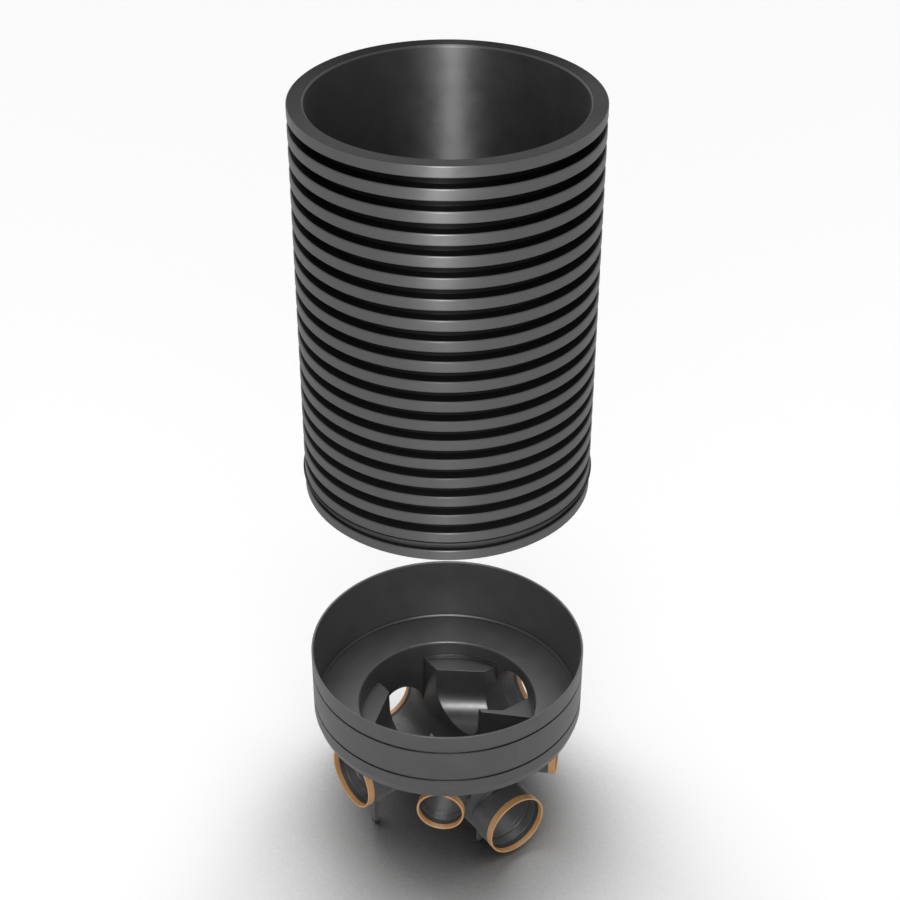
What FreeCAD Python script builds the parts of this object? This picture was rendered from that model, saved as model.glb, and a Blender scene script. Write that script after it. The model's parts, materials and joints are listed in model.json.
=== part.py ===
import FreeCAD, Part
import math
import os

from FreeCAD import Vector

# Drain inspection chamber, 630 mm: a ribbed riser shaft above a moulded base with six pipe sockets.
# Millimetres. Z up. The origin is on the chamber's axis, on the plane that its feet stand on.
# The main flow runs from -Y (inlet) to +Y (outlet). The riser is shown lifted clear of the base.

# Riser shaft
RISER_OUTER_R = 352.5
RISER_WALL = 9.0
RIB_DEPTH = 28.5
RIB_COUNT = 20
RIB_PITCH = 51.2
RIB_LAND = 27.2
RIB_EDGE = 2.0
MOUTH_CHAMFER = 5.0
RISER_LIFT = 745.4
SEAT_GAP = 0.3
RIB_ROOT_R = RISER_OUTER_R - RIB_DEPTH
RISER_BORE_R = RIB_ROOT_R - RISER_WALL
RISER_LENGTH = (RIB_COUNT - 1) * RIB_PITCH + RIB_LAND

# Shaft seal, in the riser's lowest groove
SEAL_SIDE_CLEARANCE = 0.5
SEAL_ROOT_CLEARANCE = 0.2
SEAL_BODY_THICKNESS = 18.0
SEAL_LIP_CLEARANCE = 0.5
SEAL_LIP_THICKNESS = 3.0

# Collar with its ledge. The lowest band tapers to a rim that hangs below the ledge.
WALL = 6.0
COLLAR_CLEARANCE = 4.5
COLLAR_TOP_Z = 516.0
RIM_ROUND = 2.0
COLLAR_TAPER = 7.6
COLLAR_TAPER_RISE = 8.5
COLLAR_HANG = 15.5
LEDGE_SEAT_Z = 321.5
LEDGE_SEAT_WIDTH = 45.0
LEDGE_WIDTH = 116.2
LEDGE_FALL = 2.5
LEDGE_CORNER = 4.0
COLLAR_GROOVES_Z = (463.0, 368.5)
COLLAR_GROOVE_WIDTH = 5.0
COLLAR_GROOVE_DEPTH = 3.0
WELL_EDGE = 3.0

# Well with its bench, and the flange that the collar is welded on
FLANGE_WIDTH = 20.0
BENCH_Z = 266.0
BENCH_STEP_HEIGHT = 6.0
BENCH_STEP_WIDTH = 4.5
COLLAR_BORE_R = RISER_OUTER_R + COLLAR_CLEARANCE
COLLAR_OUTER_R = COLLAR_BORE_R + WALL
WELL_R = COLLAR_BORE_R - LEDGE_WIDTH
WELL_TOP_Z = LEDGE_SEAT_Z - LEDGE_FALL
FLANGE_Z = WELL_TOP_Z - WALL

# Pipe sockets, one entry for each pipe size: radial steps from the pipe's outside, and the push-in depth
MAIN_PIPE = dict(
    pipe_r=80.0, bore_clearance=0.3, stop_step=2.0, socket_step=7.6, ring_step=3.0, depth=53.0)
BRANCH_PIPE = dict(
    pipe_r=55.0, bore_clearance=0.25, stop_step=1.0, socket_step=7.9, ring_step=2.9, depth=45.0)
SOCKET_BACK = 13.0
RING_LENGTH = 18.5
RING_SKIRT_LENGTH = 3.0
RING_SKIRT_THICKNESS = 1.5
RING_FIT = 0.15
RING_PROUD = 0.8
LIP_SEAL_LENGTH = 11.0
LIP_SEAL_THICKNESS = 4.0
SHOULDER_CHAMFER = 2.0
MOUTH_ROUND = 0.8

# Flow levels above the foot plane, and places in plan. Stubs join the well to the backs of the sockets.
MAIN_AXIS_Z = 103.5
UPPER_AXIS_Z = 205.0
BRANCH_FROM_INLET = 45.0
BRANCH_OFFSET = 33.0
MAIN_STUB = 16.2
SIDE_STUB = 11.2
BRANCH_STUB = 12.2
STUB_ROOT = 25.8

# Open channels: half-round inverts and leaning sides. The side channels bend towards the outlet.
CHANNEL_DRAFT = 1.0
CHANNEL_OVERRUN = 13.2
BEND_FROM_WALL = 79.8
BEND_ANGLE = 39.0
BENT_END = 13.2
BRANCH_CHANNEL_END = 25.0
BEND_AT = WELL_R - BEND_FROM_WALL
BENT_LENGTH = BEND_AT / math.cos(math.radians(BEND_ANGLE)) - BENT_END

# Feet
LEG_OUT = 4.2
LEG_ALONG = 14.0
LEG_ACROSS = 16.0
SADDLE_IN = 15.8
SADDLE_HALF_WIDTH = 60.0
SADDLE_THICKNESS = 8.0

UP = Vector(0, 0, 1)
MITRED = 1
MAIN_INLET = dict(
    name="main_inlet", pipe=MAIN_PIPE, azimuth=270.0, z=MAIN_AXIS_Z, stub=MAIN_STUB, offset=0.0, bend=0.0)
OUTLET = dict(
    name="outlet", pipe=MAIN_PIPE, azimuth=90.0, z=MAIN_AXIS_Z, stub=MAIN_STUB, offset=0.0, bend=0.0)
RIGHT_SIDE = dict(
    name="right_side", pipe=MAIN_PIPE, azimuth=0.0, z=UPPER_AXIS_Z, stub=SIDE_STUB, offset=0.0,
    bend=-BEND_ANGLE)
LEFT_SIDE = dict(
    name="left_side", pipe=MAIN_PIPE, azimuth=180.0, z=UPPER_AXIS_Z, stub=SIDE_STUB, offset=0.0,
    bend=BEND_ANGLE)
RIGHT_BRANCH = dict(
    name="right_branch", pipe=BRANCH_PIPE, azimuth=270.0 + BRANCH_FROM_INLET, z=UPPER_AXIS_Z,
    stub=BRANCH_STUB, offset=-BRANCH_OFFSET, bend=0.0)
LEFT_BRANCH = dict(
    name="left_branch", pipe=BRANCH_PIPE, azimuth=270.0 - BRANCH_FROM_INLET, z=UPPER_AXIS_Z,
    stub=BRANCH_STUB, offset=BRANCH_OFFSET, bend=0.0)
SOCKETS = (MAIN_INLET, OUTLET, RIGHT_SIDE, LEFT_SIDE, RIGHT_BRANCH, LEFT_BRANCH)


def turned(points):
    """Solid of revolution about Z from (radius, height) points."""
    corners = [Vector(r, 0, z) for r, z in points]
    face = Part.Face(Part.makePolygon(corners + corners[:1]))
    return face.revolve(Vector(0, 0, 0), UP, 360)


def cylinder(radius, low, high):
    return Part.makeCylinder(radius, high - low, Vector(0, 0, low))


def direction(azimuth):
    angle = math.radians(azimuth)
    return Vector(math.cos(angle), math.sin(angle), 0)


def side_of(azimuth):
    return direction(azimuth + 90.0)


def axis_point(socket, along):
    """Point on a socket's axis, at a distance out from the chamber's centre."""
    out = direction(socket["azimuth"]) * along
    across = side_of(socket["azimuth"]) * socket["offset"]
    return out + across + Vector(0, 0, socket["z"])


def back_of(socket):
    """Distance from the chamber's centre to the back of a socket, where its stub ends."""
    return WELL_R + socket["stub"]


def mouth_of(socket):
    """Distance from the chamber's centre to the front of a socket's ring."""
    return back_of(socket) + SOCKET_BACK + socket["pipe"]["depth"]


def throat_r(size):
    return size["pipe_r"] - size["stop_step"]


def ring_r(size):
    return size["pipe_r"] + size["socket_step"]


def pipe(socket, radius, start, end):
    """Round bar along a socket's axis."""
    return Part.makeCylinder(radius, end - start, axis_point(socket, start), direction(socket["azimuth"]))


def channel_line(socket):
    """Plan line of the channel behind a socket, from outside the well's wall to the main flow."""
    reach = WELL_R + CHANNEL_OVERRUN
    outer = axis_point(socket, reach)
    if socket is MAIN_INLET:
        return [outer, axis_point(socket, -reach)]
    if not socket["bend"]:
        return [outer, axis_point(socket, BRANCH_CHANNEL_END)]
    corner = axis_point(socket, BEND_AT)
    flow = direction(socket["azimuth"] + 180.0 + socket["bend"])
    return [outer, corner, corner + flow * BENT_LENGTH]


def channel(line, radius, top_z):
    """Bar along a plan line: half-round below its axis, with leaning sides from there up to top_z."""
    start = line[0]
    across = UP.cross(line[1] - start).normalize()
    lean = math.tan(math.radians(CHANNEL_DRAFT)) * (top_z - start.z)
    left, right = start + across * radius, start - across * radius
    top_left = left + across * lean + UP * (top_z - start.z)
    top_right = right - across * lean + UP * (top_z - start.z)
    section = Part.Wire([
        Part.Arc(left, start - UP * radius, right).toShape(),
        Part.makeLine(right, top_right),
        Part.makeLine(top_right, top_left),
        Part.makeLine(top_left, left),
    ])
    return Part.makePolygon(line).makePipeShell([section], True, False, MITRED)


def riser_shaft():
    """Ribbed shaft with a smooth bore, lifted above its seat."""
    foot = LEDGE_SEAT_Z + SEAT_GAP + RISER_LIFT
    top = foot + RISER_LENGTH
    outline = [(RISER_BORE_R, foot)]
    for rib in range(RIB_COUNT):
        low = foot + rib * RIB_PITCH
        high = low + RIB_LAND
        outline += [
            (RIB_ROOT_R, low),
            (RISER_OUTER_R - RIB_EDGE, low),
            (RISER_OUTER_R, low + RIB_EDGE),
            (RISER_OUTER_R, high - RIB_EDGE),
            (RISER_OUTER_R - RIB_EDGE, high),
            (RIB_ROOT_R, high),
        ]
    outline = outline[:1] + outline[2:-1]
    outline += [(RISER_BORE_R + MOUTH_CHAMFER, top), (RISER_BORE_R, top - MOUTH_CHAMFER)]
    return turned(outline)


def shaft_seal():
    """Elastomer ring in the lowest groove, with a raked lip that meets the collar."""
    foot = LEDGE_SEAT_Z + SEAT_GAP + RISER_LIFT
    low = foot + RIB_LAND
    high = foot + RIB_PITCH - SEAL_SIDE_CLEARANCE
    inner = RIB_ROOT_R + SEAL_ROOT_CLEARANCE
    outer = inner + SEAL_BODY_THICKNESS
    lip = COLLAR_BORE_R - SEAL_LIP_CLEARANCE
    return turned([
        (inner, low),
        (outer, low),
        (lip - RIB_EDGE, high - 2 * SEAL_LIP_THICKNESS),
        (lip, high - SEAL_LIP_THICKNESS),
        (lip - SEAL_LIP_THICKNESS, high),
        (outer, high - 2 * SEAL_LIP_THICKNESS),
        (inner, high),
    ])


def collar():
    """Round collar for the riser's foot, with the ledge that it stands on and two grooves outside."""
    foot_r = COLLAR_OUTER_R - COLLAR_TAPER
    foot_z = LEDGE_SEAT_Z - COLLAR_HANG
    outline = [
        (WELL_R, FLANGE_Z),
        (WELL_R, WELL_TOP_Z - WELL_EDGE),
        (WELL_R + WELL_EDGE, WELL_TOP_Z),
        (COLLAR_BORE_R - LEDGE_SEAT_WIDTH, LEDGE_SEAT_Z),
        (COLLAR_BORE_R - LEDGE_CORNER, LEDGE_SEAT_Z),
        (COLLAR_BORE_R, LEDGE_SEAT_Z + LEDGE_CORNER),
        (COLLAR_BORE_R, COLLAR_TOP_Z - RIM_ROUND),
        (COLLAR_BORE_R + RIM_ROUND, COLLAR_TOP_Z),
        (COLLAR_OUTER_R, COLLAR_TOP_Z),
    ]
    for z in COLLAR_GROOVES_Z:
        outline += [
            (COLLAR_OUTER_R, z + COLLAR_GROOVE_WIDTH / 2),
            (COLLAR_OUTER_R - COLLAR_GROOVE_DEPTH, z),
            (COLLAR_OUTER_R, z - COLLAR_GROOVE_WIDTH / 2),
        ]
    outline += [
        (COLLAR_OUTER_R, LEDGE_SEAT_Z + COLLAR_TAPER_RISE),
        (foot_r, foot_z),
        (foot_r - WALL, foot_z),
        (foot_r - WALL, FLANGE_Z),
    ]
    return turned(outline)


def well():
    """Outer and inner volumes of the well above its bench, with the flange round its top."""
    outer = turned([
        (0, BENCH_Z - WALL),
        (WELL_R + WALL, BENCH_Z - WALL),
        (WELL_R + WALL, FLANGE_Z - WALL),
        (WELL_R + FLANGE_WIDTH, FLANGE_Z - WALL),
        (WELL_R + FLANGE_WIDTH, FLANGE_Z),
        (0, FLANGE_Z),
    ])
    inner = turned([
        (0, BENCH_Z),
        (WELL_R - BENCH_STEP_WIDTH, BENCH_Z),
        (WELL_R - BENCH_STEP_WIDTH, BENCH_Z + BENCH_STEP_HEIGHT),
        (WELL_R, BENCH_Z + BENCH_STEP_HEIGHT),
        (WELL_R, FLANGE_Z),
        (0, FLANGE_Z),
    ])
    return outer, inner


def flow_volume(skin):
    """The channels and pipe runs below the bench, grown by skin on every side."""
    within = cylinder(WELL_R + skin, 0, BENCH_Z + BENCH_STEP_HEIGHT)
    top_z = BENCH_Z if skin else BENCH_Z + BENCH_STEP_HEIGHT
    channels = []
    runs = []
    for socket in SOCKETS:
        radius = throat_r(socket["pipe"]) + skin
        if socket is not OUTLET:
            channels.append(channel(channel_line(socket), radius, top_z))
        runs.append(pipe(socket, radius, WELL_R - STUB_ROOT, back_of(socket)))
    return channels[0].multiFuse(channels[1:]).common(within).multiFuse(runs)


def feet():
    """Two legs below the side inlets and two saddles below the main channel."""
    solids = []
    for socket in (RIGHT_SIDE, LEFT_SIDE):
        top = axis_point(socket, WELL_R + LEG_OUT) - UP * (throat_r(socket["pipe"]) + WALL / 2)
        corner = Vector(top.x - LEG_ALONG / 2, -LEG_ACROSS / 2, 0)
        solids.append(Part.makeBox(LEG_ALONG, LEG_ACROSS, top.z, corner))
    for y in (SADDLE_IN - WELL_R, WELL_R - SADDLE_IN):
        corner = Vector(-SADDLE_HALF_WIDTH, y - SADDLE_THICKNESS / 2, 0)
        solids.append(Part.makeBox(2 * SADDLE_HALF_WIDTH, SADDLE_THICKNESS, MAIN_AXIS_Z, corner))
    return solids


def base_body():
    """One moulding: well, bench and channels, with stubs for the sockets, legs and saddles."""
    well_outer, well_inner = well()
    outer = well_outer.multiFuse([flow_volume(WALL)] + feet())
    return outer.cut(well_inner.fuse(flow_volume(0.0))).removeSplitter()


def placed(shape, socket):
    """Moves a part from its drawing position, mouth at the origin and bore along -X, to a socket."""
    shape = shape.copy()
    shape.rotate(Vector(0, 0, 0), UP, socket["azimuth"])
    shape.translate(axis_point(socket, mouth_of(socket)))
    return shape


def bored(points):
    """Solid of revolution about X from (depth behind the mouth, radius) points."""
    corners = [Vector(-depth, 0, radius) for depth, radius in points]
    face = Part.Face(Part.makePolygon(corners + corners[:1]))
    return face.revolve(Vector(0, 0, 0), Vector(1, 0, 0), 360)


def pipe_socket(size):
    """Socket moulding: spigot and seal groove at its front, pipe stop at its depth, shoulder at its back."""
    bore = size["pipe_r"] + size["bore_clearance"]
    front = RING_LENGTH - RING_SKIRT_LENGTH
    groove = bore + LIP_SEAL_THICKNESS + RING_FIT
    spigot = ring_r(size) - RING_SKIRT_THICKNESS - RING_FIT
    barrel = ring_r(size) - RING_PROUD
    length = size["depth"] + SOCKET_BACK
    return bored([
        (front, groove),
        (front, spigot),
        (RING_LENGTH + RING_FIT, spigot),
        (RING_LENGTH + RING_FIT, barrel),
        (length - SHOULDER_CHAMFER, barrel),
        (length, barrel - SHOULDER_CHAMFER),
        (length, throat_r(size)),
        (size["depth"], throat_r(size)),
        (size["depth"], bore),
        (front + LIP_SEAL_LENGTH, bore),
        (front + LIP_SEAL_LENGTH, groove),
    ])


def lip_seal(size):
    """Elastomer ring that fills the groove, drawn with its lip pressed flush by the pipe."""
    bore = size["pipe_r"] + size["bore_clearance"]
    front = RING_LENGTH - RING_SKIRT_LENGTH
    back = front + LIP_SEAL_LENGTH
    outer = bore + LIP_SEAL_THICKNESS
    return bored([(front, bore), (front, outer), (back, outer), (back, bore)])


def retaining_ring(size):
    """Snap-on sleeve in front of the seal, with a thin skirt around the socket's spigot."""
    bore = size["pipe_r"] + size["ring_step"]
    outer = ring_r(size)
    skirt = outer - RING_SKIRT_THICKNESS
    front = RING_LENGTH - RING_SKIRT_LENGTH
    return bored([
        (0, bore + MOUTH_ROUND),
        (0, outer - MOUTH_ROUND),
        (MOUTH_ROUND, outer),
        (RING_LENGTH, outer),
        (RING_LENGTH, skirt),
        (front, skirt),
        (front, bore),
        (MOUTH_ROUND, bore),
    ])


def parts():
    yield "riser_shaft", riser_shaft()
    yield "shaft_seal", shaft_seal()
    yield "collar", collar()
    yield "base_body", base_body()
    for socket in SOCKETS:
        size = socket["pipe"]
        yield socket["name"] + "_socket", placed(pipe_socket(size), socket)
        yield socket["name"] + "_lip_seal", placed(lip_seal(size), socket)
        yield socket["name"] + "_retaining_ring", placed(retaining_ring(size), socket)


def main():
    os.makedirs("parts", exist_ok=True)
    for name, shape in parts():
        solids = shape.Solids
        if len(solids) != 1 or not solids[0].isValid():
            raise ValueError(f"{name} has {len(solids)} solids")
        solids[0].exportStep(f"parts/{name}.step")
        box = solids[0].BoundBox
        print(f"{name:32s} {solids[0].Volume / 1000:10.1f} cm3  z {box.ZMin:8.2f} to {box.ZMax:8.2f}")


main()
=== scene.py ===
"""Finishes, floor, light and camera for a drain inspection chamber.

A ribbed riser shaft hangs above a moulded base that has six ringed pipe sockets. Lengths are in metres.
"""

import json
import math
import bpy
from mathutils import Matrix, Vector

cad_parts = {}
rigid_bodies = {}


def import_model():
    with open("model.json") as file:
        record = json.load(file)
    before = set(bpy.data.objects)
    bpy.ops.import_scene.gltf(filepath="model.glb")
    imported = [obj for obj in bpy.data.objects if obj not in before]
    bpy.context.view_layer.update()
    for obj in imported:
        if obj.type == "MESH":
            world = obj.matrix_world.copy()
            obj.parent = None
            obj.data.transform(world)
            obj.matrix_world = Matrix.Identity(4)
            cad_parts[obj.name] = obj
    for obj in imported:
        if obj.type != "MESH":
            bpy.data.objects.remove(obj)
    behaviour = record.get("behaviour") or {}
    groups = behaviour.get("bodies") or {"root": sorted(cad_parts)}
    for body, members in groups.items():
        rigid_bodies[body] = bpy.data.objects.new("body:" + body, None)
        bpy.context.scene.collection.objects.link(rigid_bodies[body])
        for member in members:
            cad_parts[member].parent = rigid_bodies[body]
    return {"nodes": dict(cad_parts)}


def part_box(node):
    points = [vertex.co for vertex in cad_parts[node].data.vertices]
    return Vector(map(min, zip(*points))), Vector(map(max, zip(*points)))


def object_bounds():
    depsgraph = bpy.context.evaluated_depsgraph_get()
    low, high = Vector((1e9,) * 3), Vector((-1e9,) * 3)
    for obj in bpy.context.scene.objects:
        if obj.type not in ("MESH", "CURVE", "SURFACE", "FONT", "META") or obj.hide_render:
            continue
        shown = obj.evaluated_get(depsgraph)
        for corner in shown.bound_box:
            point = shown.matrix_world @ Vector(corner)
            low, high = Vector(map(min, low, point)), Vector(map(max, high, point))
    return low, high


bl_info = {
    "name": "Drain inspection chamber",
    "version": (1, 0, 0),
    "blender": (4, 5, 0),
    "location": "View3D > Sidebar > Chamber",
    "description": "Finishes, floor, light and camera for a drain inspection chamber",
    "category": "Object",
}

import bpy
from bpy.props import FloatProperty, FloatVectorProperty, PointerProperty
from mathutils import Vector

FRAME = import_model()
CAD_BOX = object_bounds()

RISER_NODE = "riser_shaft"
BASE_NODES = ("collar", "base_body")
SHAFT_SEAL_NODE = "shaft_seal"
SOCKET_TAIL = "_socket"
LIP_SEAL_TAIL = "_lip_seal"
RING_TAIL = "_retaining_ring"

# Riser's wall: its bore, the skin that takes the bore's painted shade, and the skin of the ribs' outer faces
RISER_BORE_R = 0.315
BORE_SKIN = 0.0055
RIB_SKIN = 0.0025

# Collar's wall: its outer skin, a depth past its two grooves, and the band of height that holds them
COLLAR_SKIN = 0.0003
PAST_GROOVE_FLOOR = 0.0035
BAND_BELOW_MIDDLE = 0.07
BAND_BELOW_RIM = 0.003
LOW_GROOVE_Z = 0.3685
GROOVE_PITCH = 0.0945

# Depth at a wall's end that still counts as its end face
END_FACE_DEPTH = 0.0005

# Plastic: range of the mottle's noise, its push on the roughness, height of the grain, gloss of a bare face
NOISE_LOW = 0.3
NOISE_HIGH = 0.7
MOTTLE_GLOSS = 0.05
GRAIN_HEIGHT = 0.0003
PLAIN_GLOSS = 0.5

# Likeness of the rounded and the true normal where the mask of an edge begins, and where it is full
EDGE_BEGINS = 0.995
EDGE_FULL = 0.8

# Painted shade in corners: its reach, the openness at which it is full and at which it ends, and its tone
CORNER_REACH = 0.016
CORNER_CLOSED = 0.5
CORNER_OPEN = 0.92
CORNER_TONE = 0.12

# Quarter turn that draws the riser's highlights out upright
UPRIGHT = 0.25

# Floor's half width, and the openness above which it has no painted shadow
FLOOR_HALF = 30.0
FLOOR_OPEN = 0.9

# Lamps and camera
TOP_LIGHT_HEIGHT = 6.0
LAMP_REACH = 5.0
FRONT_LAMP_WIDTH = 4.0
FRONT_LAMP_HEIGHT = 2.0
GLOSS_LAMP_RADIUS = 0.1
SENSOR_WIDTH = 36.0
CAMERA_CLIP = 100.0

# Colour sockets of a Mix node, and the lowest and highest corners of an object's bound_box
MIX_FACTOR = 0
MIX_LOWER = 6
MIX_UPPER = 7
MIX_RESULT = 2
LOW_CORNER = 0
HIGH_CORNER = 6


class RiserFinish(bpy.types.PropertyGroup):
    """Moulded finish of the ribbed riser shaft."""

    colour: FloatVectorProperty(
        name="Colour", description="Plastic of the riser", subtype="COLOR", size=3, min=0, max=1,
        default=(0.099, 0.099, 0.100))
    # Painted shade: the grooves between the ribs are darkened in colour, darkest in the uppermost ones.
    groove_shade_colour: FloatVectorProperty(
        name="Groove shade colour",
        description="Painted shade in the uppermost grooves between the ribs", subtype="COLOR",
        size=3, min=0, max=1, default=(0.004, 0.004, 0.004))
    # Painted light: the painted shade of the grooves grows paler towards the riser's foot, where light from
    # the floor falls.
    groove_foot_shade_colour: FloatVectorProperty(
        name="Groove foot shade colour", description="Paler painted shade in the lowest grooves between the ribs, for light from the floor",
        subtype="COLOR", size=3, min=0, max=1, default=(0.030, 0.030, 0.030))
    # Painted shade: the riser's end faces are darkened in colour, against the light from above.
    end_shade_colour: FloatVectorProperty(
        name="End shade colour", description="Painted shade on the end faces of the riser", subtype="COLOR", size=3, min=0, max=1,
        default=(0.030, 0.030, 0.030))
    # Painted shade: the riser's bore is darkened in colour.
    bore_shade_colour: FloatVectorProperty(
        name="Bore shade colour",
        description="Painted shade on the smooth inner wall of the riser", subtype="COLOR", size=3, min=0, max=1,
        default=(0.048, 0.048, 0.049))
    # Painted light: the bore grows paler towards the riser's foot, against the shade deep in it.
    bore_foot_light_colour: FloatVectorProperty(
        name="Bore foot light colour", description="Painted light on the inner wall near the riser's foot", subtype="COLOR",
        size=3, min=0, max=1, default=(0.15, 0.15, 0.152))
    roughness: FloatProperty(
        name="Roughness", description="Surface roughness of the riser", default=0.44, min=0, max=1,
        subtype="FACTOR")
    stretch: FloatProperty(
        name="Gloss stretch",
        description="How far the lines of the extruded wall stretch its highlights upright",
        default=0.80, min=0, max=1, subtype="FACTOR")
    groove_gloss: FloatProperty(
        name="Groove gloss", description="Gloss that is left in the grooves", default=0.05, min=0, max=1,
        subtype="FACTOR")
    cut_gloss: FloatProperty(
        name="Cut gloss", description="Gloss that is left on the sawn end faces", default=0.10, min=0, max=1,
        subtype="FACTOR")
    dish: FloatProperty(
        name="Dish", description="Lean of the sawn end face towards the bore", default=math.radians(36.0),
        subtype="ANGLE")
    grain: FloatProperty(
        name="Grain size", description="Size of the moulding grain", default=0.0016, unit="LENGTH")
    edge_radius: FloatProperty(
        name="Edge radius", description="Rounding shown on the rib edges", default=0.0022, unit="LENGTH")


class BaseFinish(bpy.types.PropertyGroup):
    """Moulded finish of the base and its sockets."""

    colour: FloatVectorProperty(
        name="Colour",
        description="Plastic of the base and the sockets", subtype="COLOR", size=3, min=0, max=1,
        default=(0.091, 0.091, 0.092))
    # Painted highlight: a paler colour along the moulded edges.
    edge_highlight_colour: FloatVectorProperty(
        name="Edge highlight colour",
        description="Painted highlight along the moulded edges", subtype="COLOR", size=3, min=0, max=1,
        default=(0.14, 0.14, 0.143))
    # Painted shade: the collar's two grooves, and a soft band beside each, are darkened in colour.
    groove_shade_colour: FloatVectorProperty(
        name="Groove shade colour",
        description="Painted shade in the two grooves round the collar", subtype="COLOR", size=3,
        min=0, max=1, default=(0.004, 0.004, 0.004))
    groove_gloss: FloatProperty(
        name="Groove gloss",
        description="Gloss that is left in the collar's grooves", default=0.05, min=0, max=1,
        subtype="FACTOR")
    groove_shade: FloatProperty(
        name="Groove shade", description="How far the painted shade reaches beside each groove of the collar",
        default=0.0065, unit="LENGTH")
    roughness: FloatProperty(
        name="Roughness", description="Surface roughness of the base", default=0.40, min=0, max=1,
        subtype="FACTOR")
    grain: FloatProperty(
        name="Grain size", description="Size of the moulding grain", default=0.0022, unit="LENGTH")
    edge_radius: FloatProperty(
        name="Edge radius", description="Rounding shown on the moulded edges", default=0.0030, unit="LENGTH")


class RingFinish(bpy.types.PropertyGroup):
    """Finish of the orange rings at the socket mouths."""

    colour: FloatVectorProperty(
        name="Colour", description="Plastic of the retaining rings", subtype="COLOR", size=3, min=0, max=1,
        default=(0.66, 0.355, 0.145))
    # Painted highlight: a paler colour along the edges of the rings.
    edge_highlight_colour: FloatVectorProperty(
        name="Edge highlight colour",
        description="Painted highlight along the edges of the rings", subtype="COLOR", size=3, min=0,
        max=1, default=(0.78, 0.48, 0.24))
    roughness: FloatProperty(
        name="Roughness", description="Surface roughness of the rings", default=0.38, min=0, max=1,
        subtype="FACTOR")


class RubberFinish(bpy.types.PropertyGroup):
    """Finish of the shaft seal and the lip seals."""

    colour: FloatVectorProperty(
        name="Colour", description="Rubber of the seals", subtype="COLOR", size=3, min=0, max=1,
        default=(0.030, 0.030, 0.031))
    roughness: FloatProperty(
        name="Roughness", description="Surface roughness of the seals", default=0.7, min=0, max=1,
        subtype="FACTOR")


class StudioSettings(bpy.types.PropertyGroup):
    """Floor, soft light and camera."""

    floor_white: FloatProperty(
        name="Floor white", description="Tone of the floor in the picture", default=1.10, min=0)
    floor_return: FloatProperty(
        name="Floor return",
        description="Share of light that the floor gives back to the chamber", default=0.75,
        min=0, max=1, subtype="FACTOR")
    # The contact shadow set here is painted into the floor's colour, over the real shadow that the lamps
    # cast.
    shadow_reach: FloatProperty(
        name="Shadow reach", description="How far the dark of the contact shadow spreads", default=1.0,
        unit="LENGTH")
    shadow_depth: FloatProperty(
        name="Shadow depth",
        description="How dark the contact shadow is near the chamber", default=2.1, min=0)
    shadow_lean: FloatProperty(
        name="Shadow lean", description="How far the contact shadow is pushed to the front",
        default=math.radians(34.0), subtype="ANGLE")
    fill_strength: FloatProperty(
        name="Fill", description="Strength of the even light from all round", default=0.36, min=0)
    top_strength: FloatProperty(
        name="Top light", description="Strength of the broad light from above", default=2.0, min=0)
    top_tilt: FloatProperty(
        name="Top tilt", description="How far the light from above leans in from behind the chamber",
        default=math.radians(38.0), subtype="ANGLE")
    top_turn: FloatProperty(
        name="Top turn", description="How far the light from above comes in from the camera's left",
        default=math.radians(6.0), subtype="ANGLE")
    top_spread: FloatProperty(
        name="Top spread", description="Width of the broad light from above", default=math.radians(70.0),
        subtype="ANGLE")
    front_power: FloatProperty(
        name="Front power",
        description="Power of the wide soft lamp in front", default=75.0, min=0, unit="POWER")
    front_rise: FloatProperty(
        name="Front rise", description="Angle of the soft lamp above the level", default=math.radians(20.0),
        subtype="ANGLE")
    stripe_power: FloatProperty(
        name="Stripe power",
        description="Power of the small lamp that draws the bright stripe", default=3000.0,
        min=0, unit="POWER")
    stripe_turn: FloatProperty(
        name="Stripe turn", description="Angle of the small lamp to the left of the camera",
        default=math.radians(4.2), subtype="ANGLE")
    stripe_rise: FloatProperty(
        name="Stripe rise", description="Angle of the small lamp above the level", default=math.radians(25.0),
        subtype="ANGLE")
    stripe_beam: FloatProperty(
        name="Stripe beam", description="Width of the small lamp's soft beam", default=math.radians(17.0),
        subtype="ANGLE")
    well_power: FloatProperty(
        name="Well power",
        description="Power of the small lamp that draws the gloss in the channels", default=1400.0,
        min=0, unit="POWER")
    well_rise: FloatProperty(
        name="Well rise",
        description="Angle of the channels' lamp above the level", default=math.radians(42.0),
        subtype="ANGLE")
    camera_turn: FloatProperty(
        name="Camera turn", description="Camera's place round the chamber, from its main inlet",
        default=math.radians(-35.5), subtype="ANGLE")
    camera_pitch: FloatProperty(
        name="Camera pitch", description="Angle that the camera looks down by",
        default=math.radians(33.957), subtype="ANGLE")
    camera_reach: FloatProperty(
        name="Camera reach", description="Camera's level distance from the chamber's axis", default=3.6037,
        unit="LENGTH")
    camera_height: FloatProperty(
        name="Camera height",
        description="Camera's height above the riser's top", default=1.5007, unit="LENGTH")
    lens: FloatProperty(
        name="Lens", description="Focal length on a 36 mm sensor, in millimetres", default=70.19)
    shift: FloatProperty(
        name="Sideways shift", description="Lens shift that frames the chamber as the photograph does",
        default=0.003)


def node_tree(block):
    """Empties a material's or world's node tree and returns it."""
    block.use_nodes = True
    block.node_tree.nodes.clear()
    return block.node_tree


def add_node(tree, kind, **values):
    """Adds a node and sets its inputs or attributes by name."""
    node = tree.nodes.new(kind)
    for name, value in values.items():
        label = name.replace("_", " ")
        if label in node.inputs:
            node.inputs[label].default_value = value
        else:
            setattr(node, name, value)
    return node


def feed(tree, source, socket):
    """Feeds a socket from another node's output, or sets it to a plain number or colour."""
    if isinstance(source, bpy.types.NodeSocket):
        tree.links.new(source, socket)
    else:
        socket.default_value = source


def math_of(tree, operation, *values):
    """Output of a Math node on plain numbers or other nodes' outputs."""
    node = add_node(tree, "ShaderNodeMath", operation=operation)
    for value, socket in zip(values, node.inputs):
        feed(tree, value, socket)
    return node.outputs[0]


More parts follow.
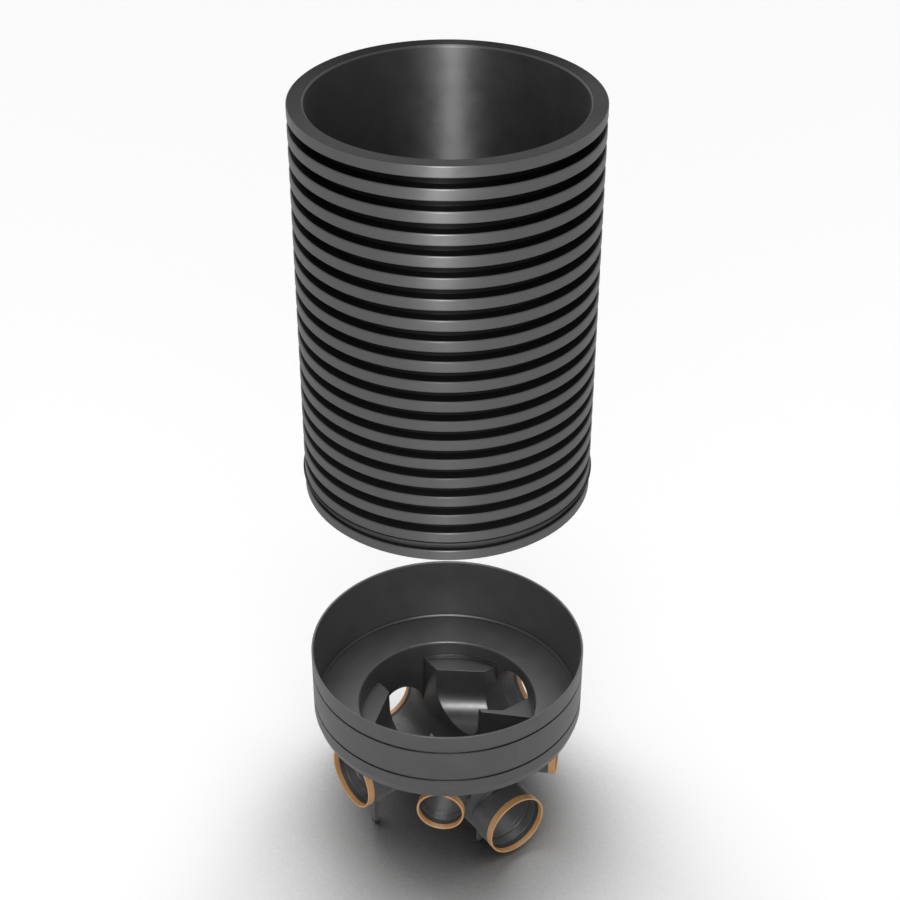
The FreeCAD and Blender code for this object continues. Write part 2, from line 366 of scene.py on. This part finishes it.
def ranged(tree, value, low, high, to_low=0.0, to_high=1.0):
    """Takes a value from one range to another, and holds it between the ends."""
    node = add_node(tree, "ShaderNodeMapRange")
    feed(tree, value, node.inputs["Value"])
    feed(tree, low, node.inputs["From Min"])
    feed(tree, high, node.inputs["From Max"])
    feed(tree, to_low, node.inputs["To Min"])
    feed(tree, to_high, node.inputs["To Max"])
    return node.outputs["Result"]


def colour_mix(tree, factor, lower, upper, blend="MIX"):
    """Mixes two colours, each a plain one or another node's output."""
    node = add_node(tree, "ShaderNodeMix", data_type="RGBA", blend_type=blend)
    feed(tree, factor, node.inputs[MIX_FACTOR])
    feed(tree, lower, node.inputs[MIX_LOWER])
    feed(tree, upper, node.inputs[MIX_UPPER])
    return node.outputs[MIX_RESULT]


def shader_group(name, inputs, outputs):
    """Makes a shader node group with named float inputs and typed outputs."""
    group = bpy.data.node_groups.new(name, "ShaderNodeTree")
    for label, default in inputs:
        socket = group.interface.new_socket(name=label, in_out="INPUT", socket_type="NodeSocketFloat")
        socket.default_value = default
    for label, kind in outputs:
        group.interface.new_socket(name=label, in_out="OUTPUT", socket_type=kind)
    return group, group.nodes.new("NodeGroupInput"), group.nodes.new("NodeGroupOutput")


def moulding_grain_group():
    """Fine moulding grain: a height for the bump, and a soft mottle for tone and gloss."""
    name = "moulding_grain"
    if name in bpy.data.node_groups:
        return bpy.data.node_groups[name]
    group, given, result = shader_group(
        name,
        [("Grain Size", 0.002), ("Mottle Size", 0.06), ("Mottle Depth", 0.1)],
        [("Height", "NodeSocketFloat"), ("Tone", "NodeSocketFloat"), ("Mottle", "NodeSocketFloat")])
    link = group.links.new
    place = add_node(group, "ShaderNodeTexCoord")
    grain = add_node(group, "ShaderNodeTexNoise", Detail=3.0, Roughness=0.6)
    link(place.outputs["Object"], grain.inputs["Vector"])
    link(math_of(group, "DIVIDE", 1.0, given.outputs["Grain Size"]), grain.inputs["Scale"])
    mottle = add_node(group, "ShaderNodeTexNoise", Detail=4.0, Roughness=0.55)
    link(place.outputs["Object"], mottle.inputs["Vector"])
    link(math_of(group, "DIVIDE", 1.0, given.outputs["Mottle Size"]), mottle.inputs["Scale"])
    depth = given.outputs["Mottle Depth"]
    darkest = math_of(group, "SUBTRACT", 1.0, depth)
    palest = math_of(group, "ADD", 1.0, depth)
    tone = ranged(group, mottle.outputs["Fac"], NOISE_LOW, NOISE_HIGH, darkest, palest)
    link(grain.outputs["Fac"], result.inputs["Height"])
    link(tone, result.inputs["Tone"])
    link(mottle.outputs["Fac"], result.inputs["Mottle"])
    return group


def rounded_edge_group():
    """Rounded look of moulded edges: a soft normal, and a mask that is 1 on the edge."""
    name = "rounded_edge"
    if name in bpy.data.node_groups:
        return bpy.data.node_groups[name]
    group, given, result = shader_group(
        name, [("Radius", 0.002)], [("Normal", "NodeSocketVector"), ("Edge", "NodeSocketFloat")])
    link = group.links.new
    bevel = add_node(group, "ShaderNodeBevel", samples=6)
    link(given.outputs["Radius"], bevel.inputs["Radius"])
    flat = add_node(group, "ShaderNodeNewGeometry")
    likeness = add_node(group, "ShaderNodeVectorMath", operation="DOT_PRODUCT")
    link(bevel.outputs["Normal"], likeness.inputs[0])
    link(flat.outputs["Normal"], likeness.inputs[1])
    link(bevel.outputs["Normal"], result.inputs["Normal"])
    link(ranged(group, likeness.outputs["Value"], EDGE_BEGINS, EDGE_FULL), result.inputs["Edge"])
    return group


def place_group(tree, group, **values):
    """Places a node group in a material with its own values."""
    node = tree.nodes.new("ShaderNodeGroup")
    node.node_tree = group
    for name, value in values.items():
        node.inputs[name.replace("_", " ")].default_value = value
    return node


def groove_zone_group():
    """Zones of an upright round wall, read from its own coordinates.

    Groove, Bore and Cut are 1 in its grooves, inside its bore and on its end faces. Foot Groove and Foot Bore
    rise to 1 towards its foot. Dish is the distance from the axis on its end faces. Line is 1 at heights that
    repeat by a pitch, and fades out over a width.
    """
    name = "groove_zones"
    if name in bpy.data.node_groups:
        return bpy.data.node_groups[name]
    zones = ("Groove", "Bore", "Cut", "Dish", "Foot Groove", "Foot Bore", "Line")
    group, given, result = shader_group(
        name,
        [("Groove Floor", 0.32), ("Groove Edge", 0.35), ("Foot", 0.0), ("Top", 1.0), ("Line Height", 0.0),
         ("Line Pitch", 1.0), ("Line Width", 0.01)],
        [(zone, "NodeSocketFloat") for zone in zones])
    link = group.links.new
    place = add_node(group, "ShaderNodeTexCoord")
    parts = add_node(group, "ShaderNodeSeparateXYZ")
    link(place.outputs["Object"], parts.inputs["Vector"])
    flat = add_node(group, "ShaderNodeCombineXYZ")
    link(parts.outputs["X"], flat.inputs["X"])
    link(parts.outputs["Y"], flat.inputs["Y"])
    length = add_node(group, "ShaderNodeVectorMath", operation="LENGTH")
    link(flat.outputs["Vector"], length.inputs[0])
    radius = length.outputs["Value"]
    height = parts.outputs["Z"]
    floor = given.outputs["Groove Floor"]
    top = given.outputs["Top"]
    foot = given.outputs["Foot"]
    bore = math_of(group, "LESS_THAN", radius, floor)
    wall = math_of(group, "GREATER_THAN", radius, floor)
    under_skin = math_of(group, "LESS_THAN", radius, given.outputs["Groove Edge"])
    at_top = math_of(group, "GREATER_THAN", height, math_of(group, "ADD", top, -END_FACE_DEPTH))
    at_foot = math_of(group, "LESS_THAN", height, math_of(group, "ADD", foot, END_FACE_DEPTH))
    cut = math_of(group, "MAXIMUM", at_top, at_foot)
    groove = math_of(group, "SUBTRACT", math_of(group, "MULTIPLY", under_skin, wall), cut)
    lowness = ranged(group, height, top, foot)
    above = math_of(group, "SUBTRACT", height, given.outputs["Line Height"])
    half_pitch = math_of(group, "MULTIPLY", given.outputs["Line Pitch"], 0.5)
    from_line = math_of(group, "PINGPONG", above, half_pitch)
    line = math_of(group, "MULTIPLY", wall, ranged(group, from_line, given.outputs["Line Width"], 0.0))
    values = (
        groove, bore, cut,
        math_of(group, "MULTIPLY", radius, cut),
        math_of(group, "MULTIPLY", groove, lowness),
        math_of(group, "MULTIPLY", bore, lowness),
        math_of(group, "SUBTRACT", line, cut))
    for zone, value in zip(zones, values):
        link(value, result.inputs[zone])
    return group


def toned(tree, colour, layers, tone):
    """Colour of a plastic with masked layers over it, multiplied by a tone: a soft mottle, with painted shade
    in corners where the caller adds it.
    """
    below = (*colour, 1)
    for mask, layer in layers:
        below = colour_mix(tree, mask, below, (*layer, 1))
    return colour_mix(tree, 1.0, below, tone, blend="MULTIPLY")


def plastic_shader(name, roughness, grain, edge_radius, bump, mottle_depth):
    """Moulded plastic with fine grain, mottled gloss and rounded edges, but no colour yet."""
    material = bpy.data.materials.new(name)
    tree = node_tree(material)
    link = tree.links.new
    shader = add_node(tree, "ShaderNodeBsdfPrincipled")
    output = add_node(tree, "ShaderNodeOutputMaterial")
    link(shader.outputs["BSDF"], output.inputs["Surface"])
    surface = place_group(tree, moulding_grain_group(), Grain_Size=grain, Mottle_Depth=mottle_depth)
    edge = place_group(tree, rounded_edge_group(), Radius=edge_radius)
    mottled = ranged(tree, surface.outputs["Mottle"], NOISE_LOW, NOISE_HIGH,
                     roughness - MOTTLE_GLOSS, roughness + MOTTLE_GLOSS)
    link(mottled, shader.inputs["Roughness"])
    relief = add_node(tree, "ShaderNodeBump", Strength=bump, Distance=GRAIN_HEIGHT)
    link(surface.outputs["Height"], relief.inputs["Height"])
    link(edge.outputs["Normal"], relief.inputs["Normal"])
    link(relief.outputs["Normal"], shader.inputs["Normal"])
    return material, tree, shader, surface, edge, relief


def dull_zones(tree, shader, zones):
    """Lowers the gloss of masked zones, each given with the gloss that is left there."""
    below = PLAIN_GLOSS
    for mask, gloss in zones:
        below = ranged(tree, mask, 0.0, 1.0, below, gloss)
    feed(tree, below, shader.inputs["Specular IOR Level"])


def moulded_plastic(
        name, colour, edge_highlight_colour, roughness, grain, edge_radius, bump, mottle_depth, grooves=None):
    """Moulded plastic with a painted highlight along its edges and painted shade in its corners and in the
    grooves of a round wall.
    """
    material, tree, shader, surface, edge, _ = plastic_shader(
        name, roughness, grain, edge_radius, bump, mottle_depth)
    # Painted shade: the colour is darkened where corners close in.
    corner = add_node(tree, "ShaderNodeAmbientOcclusion", Distance=CORNER_REACH, samples=8)
    shade = ranged(tree, corner.outputs["AO"], CORNER_CLOSED, CORNER_OPEN, CORNER_TONE)
    tone = math_of(tree, "MULTIPLY", surface.outputs["Tone"], shade)
    # Painted highlight: the colour is paler along edges.
    layers = [(edge.outputs["Edge"], edge_highlight_colour)]
    if grooves:
        groove_shade_colour, groove_gloss, places = grooves
        zones = place_group(tree, groove_zone_group(), **places)
        # Painted shade: the grooves of a round wall, and a band beside each, take the dark groove colour.
        layers += [(zones.outputs["Line"], groove_shade_colour), (zones.outputs["Groove"], groove_shade_colour)]
        dull_zones(tree, shader, [(zones.outputs["Groove"], groove_gloss)])
    tree.links.new(toned(tree, colour, layers, tone), shader.inputs["Base Color"])
    return material


def ribbed_plastic(look):
    """Riser plastic: painted shade in its grooves, on its end faces and in its bore, painted light that pales
    grooves and bore towards its foot, and highlights that are drawn out upright.
    """
    material, tree, shader, surface, edge, relief = plastic_shader(
        "riser_polypropylene", look.roughness, look.grain, look.edge_radius, bump=0.12, mottle_depth=0.06)
    corners = FRAME["nodes"][RISER_NODE].bound_box
    low = corners[LOW_CORNER]
    high = corners[HIGH_CORNER]
    zones = place_group(
        tree, groove_zone_group(), Groove_Floor=RISER_BORE_R + BORE_SKIN,
        Groove_Edge=(high[0] - low[0]) / 2 - RIB_SKIN, Foot=low[2], Top=high[2])
    # Painted shade in the grooves, the bore and on the end faces; the foot layers are painted light that
    # pales grooves and bore towards the foot.
    layers = [
        (zones.outputs["Groove"], look.groove_shade_colour),
        (zones.outputs["Foot Groove"], look.groove_foot_shade_colour),
        (zones.outputs["Bore"], look.bore_shade_colour),
        (zones.outputs["Foot Bore"], look.bore_foot_light_colour),
        (zones.outputs["Cut"], look.end_shade_colour)]
    tree.links.new(toned(tree, look.colour, layers, surface.outputs["Tone"]), shader.inputs["Base Color"])
    lean = add_node(tree, "ShaderNodeBump", Strength=1.0, Distance=math.tan(look.dish))
    tree.links.new(zones.outputs["Dish"], lean.inputs["Height"])
    tree.links.new(edge.outputs["Normal"], lean.inputs["Normal"])
    tree.links.new(lean.outputs["Normal"], relief.inputs["Normal"])
    around = add_node(tree, "ShaderNodeTangent", direction_type="RADIAL", axis="Z")
    tree.links.new(around.outputs["Tangent"], shader.inputs["Tangent"])
    dull_zones(tree, shader, [
        (zones.outputs["Groove"], look.groove_gloss),
        (zones.outputs["Cut"], look.cut_gloss)])
    shader.inputs["Anisotropic"].default_value = look.stretch
    shader.inputs["Anisotropic Rotation"].default_value = UPRIGHT
    return material


def give(node, material):
    """Gives one CAD node its material."""
    piece = FRAME["nodes"][node]
    piece.data.materials.clear()
    piece.data.materials.append(material)


def nodes_ending(tail):
    """Names of the CAD nodes of one kind, in order."""
    return sorted(name for name in FRAME["nodes"] if name.endswith(tail))


class FinishRiser(bpy.types.Operator):
    """Gives the ribbed riser shaft its moulded finish"""

    bl_idname = "chamber.finish_riser"
    bl_label = "Finish riser"

    def execute(self, context):
        look = context.scene.chamber_riser
        give(RISER_NODE, ribbed_plastic(look))
        return {"FINISHED"}


class FinishBase(bpy.types.Operator):
    """Gives the base and its sockets their moulded finish"""

    bl_idname = "chamber.finish_base"
    bl_label = "Finish base"

    def execute(self, context):
        look = context.scene.chamber_base
        low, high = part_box("collar")
        places = {"Groove_Floor": high[0] - PAST_GROOVE_FLOOR, "Groove_Edge": high[0] - COLLAR_SKIN,
                  "Foot": (low[2] + high[2]) / 2 - BAND_BELOW_MIDDLE, "Top": high[2] - BAND_BELOW_RIM,
                  "Line_Height": LOW_GROOVE_Z, "Line_Pitch": GROOVE_PITCH, "Line_Width": look.groove_shade}
        plastic = moulded_plastic(
            "base_polypropylene", look.colour, look.edge_highlight_colour, look.roughness, look.grain, look.edge_radius,
            bump=0.3, mottle_depth=0.08, grooves=(look.groove_shade_colour, look.groove_gloss, places))
        for node in [name for name in FRAME["nodes"] if name in BASE_NODES or name.endswith(SOCKET_TAIL)]:
            give(node, plastic)
        return {"FINISHED"}


class FinishRings(bpy.types.Operator):
    """Gives the six retaining rings their orange finish"""

    bl_idname = "chamber.finish_rings"
    bl_label = "Finish rings"

    def execute(self, context):
        look = context.scene.chamber_rings
        plastic = moulded_plastic(
            "ring_polypropylene", look.colour, look.edge_highlight_colour, look.roughness, grain=0.0012,
            edge_radius=0.0010, bump=0.15, mottle_depth=0.08)
        for node in nodes_ending(RING_TAIL):
            give(node, plastic)
        return {"FINISHED"}


class FinishSeals(bpy.types.Operator):
    """Gives the shaft seal and the lip seals their rubber finish"""

    bl_idname = "chamber.finish_seals"
    bl_label = "Finish seals"

    def execute(self, context):
        look = context.scene.chamber_rubber
        rubber = moulded_plastic(
            "seal_rubber", look.colour, look.colour, look.roughness, grain=0.0010,
            edge_radius=0.0008, bump=0.3, mottle_depth=0.2)
        for node in [SHAFT_SEAL_NODE] + nodes_ending(LIP_SEAL_TAIL):
            give(node, rubber)
        return {"FINISHED"}


def floor_material(white, returned, reach, depth, lean):
    """Ground that is white in the picture, with a soft shadow painted into its colour by how open it is to
    the sky, over the lamps' real shadow, and gives less light back to the chamber.
    """
    material = bpy.data.materials.new("white_floor")
    tree = node_tree(material)
    link = tree.links.new
    # Painted shadow: the floor's colour is darkened where the chamber closes it in, seen along a leaning
    # normal.
    near = add_node(tree, "ShaderNodeAmbientOcclusion", Distance=reach, samples=8)
    skyward = add_node(tree, "ShaderNodeCombineXYZ", X=lean[0], Y=lean[1], Z=lean[2])
    link(skyward.outputs["Vector"], near.inputs["Normal"])
    seen = add_node(tree, "ShaderNodeLightPath")
    openness = ranged(tree, near.outputs["AO"], 0.0, FLOOR_OPEN)
    shadow = math_of(tree, "POWER", openness, depth)
    ground = colour_mix(tree, 1.0, (white, white, white, 1), shadow, blend="MULTIPLY")
    tone = colour_mix(tree, seen.outputs["Is Camera Ray"], (returned, returned, returned, 1), ground)
    paint = add_node(tree, "ShaderNodeBsdfDiffuse")
    link(tone, paint.inputs["Color"])
    output = add_node(tree, "ShaderNodeOutputMaterial")
    link(paint.outputs[0], output.inputs["Surface"])
    return material


def white_sky(scene, strength):
    """Even white light from all round, seen by the camera as plain white."""
    world = bpy.data.worlds.new("soft_studio")
    scene.world = world
    tree = node_tree(world)
    link = tree.links.new
    seen = add_node(tree, "ShaderNodeLightPath")
    sky = add_node(tree, "ShaderNodeBackground", Color=(1, 1, 1, 1))
    link(ranged(tree, seen.outputs["Is Camera Ray"], 0.0, 1.0, strength), sky.inputs["Strength"])
    output = add_node(tree, "ShaderNodeOutputWorld")
    link(sky.outputs[0], output.inputs["Surface"])


def towards(turn):
    """Level direction from the chamber's axis to a place round it, from its main inlet."""
    return Vector((math.sin(turn), -math.cos(turn), 0))


def top_light(strength, spread, tilt, turn):
    """Broad even light from above and behind, which lays the soft shadow under the chamber."""
    lamp = bpy.data.lights.new("top", "SUN")
    lamp.energy = strength
    lamp.angle = spread
    holder = bpy.data.objects.new("top", lamp)
    holder.location = (0, 0, TOP_LIGHT_HEIGHT)
    holder.rotation_euler = (-tilt, 0, turn)
    bpy.context.scene.collection.objects.link(holder)


def aimed(lamp, turn, rise, target):
    """Places a lamp in front of the chamber, aimed at a point and unseen by the camera."""
    holder = bpy.data.objects.new(lamp.name, lamp)
    place = target + LAMP_REACH * (towards(turn) * math.cos(rise) + Vector((0, 0, math.sin(rise))))
    holder.location = place
    holder.rotation_euler = (target - place).to_track_quat("-Z", "Y").to_euler()
    holder.visible_camera = False
    bpy.context.scene.collection.objects.link(holder)
    return holder


def front_lamp(power, turn, rise, target):
    """Wide soft lamp on the camera's side, which lights the upright walls."""
    lamp = bpy.data.lights.new("front", "AREA")
    lamp.shape = "RECTANGLE"
    lamp.size = FRONT_LAMP_WIDTH
    lamp.size_y = FRONT_LAMP_HEIGHT
    lamp.energy = power
    aimed(lamp, turn, rise, target)


def gloss_lamp(name, power, turn, rise, beam, target):
    """Small lamp whose soft beam only adds gloss: a bright stripe on the riser, or bands in the channels."""
    lamp = bpy.data.lights.new(name, "SPOT")
    lamp.shadow_soft_size = GLOSS_LAMP_RADIUS
    lamp.spot_size = beam
    lamp.spot_blend = 1.0
    lamp.energy = power
    holder = aimed(lamp, turn, rise, target)
    holder.visible_diffuse = False


def flat_floor(scene, look, light_turn):
    """Wide floor under the chamber, whose painted contact shadow leans away from the light above."""
    level = CAD_BOX[0][2]
    corners = [(-FLOOR_HALF, -FLOOR_HALF, level), (FLOOR_HALF, -FLOOR_HALF, level),
               (FLOOR_HALF, FLOOR_HALF, level), (-FLOOR_HALF, FLOOR_HALF, level)]
    mesh = bpy.data.meshes.new("floor")
    mesh.from_pydata(corners, [], [(0, 1, 2, 3)])
    floor = bpy.data.objects.new("floor", mesh)
    lean = Vector((0, 0, math.cos(look.shadow_lean))) - towards(light_turn) * math.sin(look.shadow_lean)
    floor.data.materials.append(
        floor_material(look.floor_white, look.floor_return, look.shadow_reach, look.shadow_depth, lean))
    scene.collection.objects.link(floor)


def photo_camera(scene, look, top):
    """Camera that frames the chamber as the photograph does."""
    camera = bpy.data.cameras.new("camera")
    camera.sensor_width = SENSOR_WIDTH
    camera.lens = look.lens
    camera.shift_x = look.shift
    camera.clip_end = CAMERA_CLIP
    holder = bpy.data.objects.new("camera", camera)
    holder.location = towards(look.camera_turn) * look.camera_reach + Vector((0, 0, top + look.camera_height))
    holder.rotation_euler = (math.pi / 2 - look.camera_pitch, 0, look.camera_turn)
    scene.collection.objects.link(holder)
    scene.camera = holder


class BuildStudio(bpy.types.Operator):
    """Makes the floor, the light and the camera"""

    bl_idname = "chamber.build_studio"
    bl_label = "Build studio"

    def execute(self, context):
        scene = context.scene
        look = scene.chamber_studio
        light_turn = look.camera_turn + look.top_turn
        flat_floor(scene, look, light_turn)
        white_sky(scene, look.fill_strength)
        top_light(look.top_strength, look.top_spread, look.top_tilt, light_turn)
        top = CAD_BOX[1][2]
        front_lamp(look.front_power, look.camera_turn, look.front_rise, Vector((0, 0, top / 2)))
        gloss_lamp("stripe", look.stripe_power, look.camera_turn - look.stripe_turn, look.stripe_rise,
                   look.stripe_beam, Vector((0, 0, top)))
        gloss_lamp("well", look.well_power, look.camera_turn, look.well_rise, look.stripe_beam,
                   Vector((0, 0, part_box("collar")[0][2])))
        photo_camera(scene, look, top)
        scene.view_settings.view_transform = "Standard"
        return {"FINISHED"}


class ChamberPanel(bpy.types.Panel):
    """Sizes and colours of the inspection chamber"""

    bl_idname = "VIEW3D_PT_chamber"
    bl_label = "Drain inspection chamber"
    bl_space_type = "VIEW_3D"
    bl_region_type = "UI"
    bl_category = "Chamber"

    def draw(self, context):
        for name, operator in STEPS:
            box = self.layout.box()
            settings = getattr(context.scene, name)
            for key in settings.__annotations__:
                box.prop(settings, key)
            box.operator(operator)


STEPS = (
    ("chamber_riser", FinishRiser.bl_idname),
    ("chamber_base", FinishBase.bl_idname),
    ("chamber_rings", FinishRings.bl_idname),
    ("chamber_rubber", FinishSeals.bl_idname),
    ("chamber_studio", BuildStudio.bl_idname),
)
SETTINGS = (
    ("chamber_riser", RiserFinish),
    ("chamber_base", BaseFinish),
    ("chamber_rings", RingFinish),
    ("chamber_rubber", RubberFinish),
    ("chamber_studio", StudioSettings),
)
OPERATORS = (FinishRiser, FinishBase, FinishRings, FinishSeals, BuildStudio)


def register():
    for name, group in SETTINGS:
        bpy.utils.register_class(group)
        setattr(bpy.types.Scene, name, PointerProperty(type=group))
    for operator in OPERATORS:
        bpy.utils.register_class(operator)
    bpy.utils.register_class(ChamberPanel)


def unregister():
    bpy.utils.unregister_class(ChamberPanel)
    for operator in reversed(OPERATORS):
        bpy.utils.unregister_class(operator)
    for name, group in reversed(SETTINGS):
        delattr(bpy.types.Scene, name)
        bpy.utils.unregister_class(group)


def main():
    register()
    for obj in list(bpy.data.objects):
        if obj.type in {"CAMERA", "LIGHT"}:
            bpy.data.objects.remove(obj)
    bpy.ops.chamber.finish_riser()
    bpy.ops.chamber.finish_base()
    bpy.ops.chamber.finish_rings()
    bpy.ops.chamber.finish_seals()
    bpy.ops.chamber.build_studio()
    bpy.context.view_layer.update()


if __name__ == "__main__":
    main()
